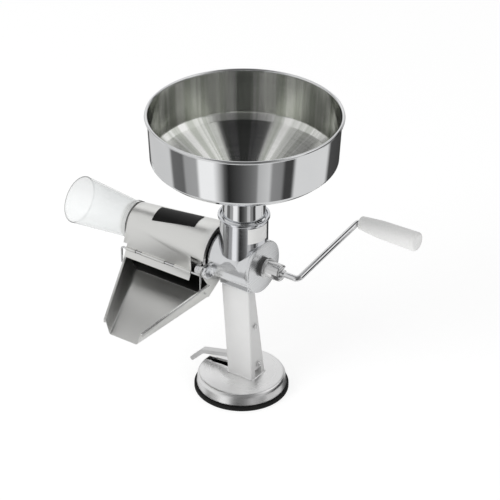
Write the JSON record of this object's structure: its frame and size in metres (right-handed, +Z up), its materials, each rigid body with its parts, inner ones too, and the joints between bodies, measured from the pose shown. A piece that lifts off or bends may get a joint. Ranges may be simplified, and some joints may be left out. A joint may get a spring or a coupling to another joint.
{
  "type": "tomato strainer with crank",
  "caption": "Hand-cranked kitchen strainer: wide hopper, screw in a conical sieve, juice chute, seed funnel and a lever-locked suction foot.",
  "frame": {"origin": "centre of the suction foot's underside, on the table", "axes": "+Z up, +X along the auger's axis towards the crank, -X to the seed funnel, -Y to the chute at the front"},
  "size_m": [0.466, 0.267, 0.417],
  "materials": {
    "cast_body": "satin",
    "cast_pedestal": "satin",
    "screw": "satin",
    "bolt": "satin",
    "cup_rubber": "matte",
    "stem_steel": "satin",
    "pin_steel": "satin",
    "lever_metal": "satin",
    "hopper_steel": "polished",
    "spout_steel": "polished",
    "label": "matte",
    "screen_steel": "satin",
    "collar_steel": "satin",
    "gasket_rubber": "matte",
    "outlet_plastic": "gloss",
    "stud_steel": "satin",
    "chute_steel": "satin",
    "guard_steel": "satin",
    "plate": "gloss",
    "wire_steel": "polished",
    "clear_plastic": "clear",
    "auger_plastic": "matte",
    "shaft_steel": "satin",
    "spring_steel": "satin",
    "washer_steel": "satin",
    "seal_rubber": "matte",
    "bush_plastic": "matte",
    "coupling_steel": "satin",
    "arm_chrome": "polished",
    "grip_plastic": "satin",
    "nut_steel": "polished"
  },
  "bodies": {
    "base": {"body_casting": "cast_body", "pedestal": "cast_pedestal", "side_screw": "screw", "clamp_bolt": "bolt", "suction_cup": "cup_rubber", "lever_pivot_pin": "pin_steel", "neck_label": "label", "screen_cone": "screen_steel", "screen_collar": "collar_steel", "screen_gasket": "gasket_rubber", "screen_outlet_ring": "outlet_plastic", "screen_studs": "stud_steel", "chute": "chute_steel", "hinge_wire": "wire_steel", "bearing_bush": "bush_plastic", "shaft_seal": "seal_rubber"},
    "crank": {"auger": "auger_plastic", "auger_shaft": "shaft_steel", "auger_spring": "spring_steel", "thrust_washer": "washer_steel", "crank_coupling": "coupling_steel", "coupling_pin": "pin_steel", "crank_arm": "arm_chrome", "grip_washer": "washer_steel"},
    "grip": {"crank_grip": "grip_plastic", "grip_end_cap": "grip_plastic"},
    "hopper": {"hopper_bowl": "hopper_steel", "hopper_spout": "spout_steel"},
    "guard": {"splash_guard": "guard_steel", "guard_plate": "plate"},
    "funnel": {"seed_funnel": "clear_plastic"},
    "lever": {"suction_lever": "lever_metal"},
    "stem": {"suction_stem": "stem_steel", "stem_pin": "pin_steel"},
    "nut_front": {"thumb_nut_front": "nut_steel"},
    "nut_back": {"thumb_nut_back": "nut_steel"}
  },
  "joints": [
    {"name": "crank_turn", "type": "hinge", "parent": "base", "child": "crank", "pos_m": [0, 0, 0.2], "axis": [1, 0, 0], "continuous": true},
    {"name": "grip_spin", "type": "hinge", "parent": "crank", "child": "grip", "pos_m": [0.15, 0.12, 0.234], "axis": [1, 0, 0], "continuous": true},
    {"name": "hopper_lift", "type": "slide", "parent": "base", "child": "hopper", "axis": [0, 0, 1], "range_m": [0, 0.06]},
    {"name": "funnel_pull", "type": "slide", "parent": "base", "child": "funnel", "axis": [-1, 0, 0], "range_m": [0, 0.03]},
    {"name": "guard_open", "type": "hinge", "parent": "base", "child": "guard", "pos_m": [-0.11, -0.036, 0.1775], "axis": [1, 0, 0], "range_deg": [0, 90]},
    {"name": "suction_lever_lift", "type": "hinge", "parent": "base", "child": "lever", "pos_m": [-0.008, 0, 0.046], "axis": [0, 1, 0], "range_deg": [0, 60]},
    {"name": "stem_slide", "type": "slide", "parent": "base", "child": "stem", "axis": [0, 0, 1], "range_m": [-0.00401, 0]},
    {"name": "thumb_nut_front_turn", "type": "hinge", "parent": "base", "child": "nut_front", "pos_m": [-0.043, -0.038, 0.188], "axis": [1, 0, 0], "continuous": true},
    {"name": "thumb_nut_back_turn", "type": "hinge", "parent": "base", "child": "nut_back", "pos_m": [-0.043, 0.038, 0.188], "axis": [1, 0, 0], "continuous": true}
  ],
  "couplings": [
    {"joint": "stem_slide", "follows": "suction_lever_lift", "m_per_rad": -0.0038197}
  ]
}
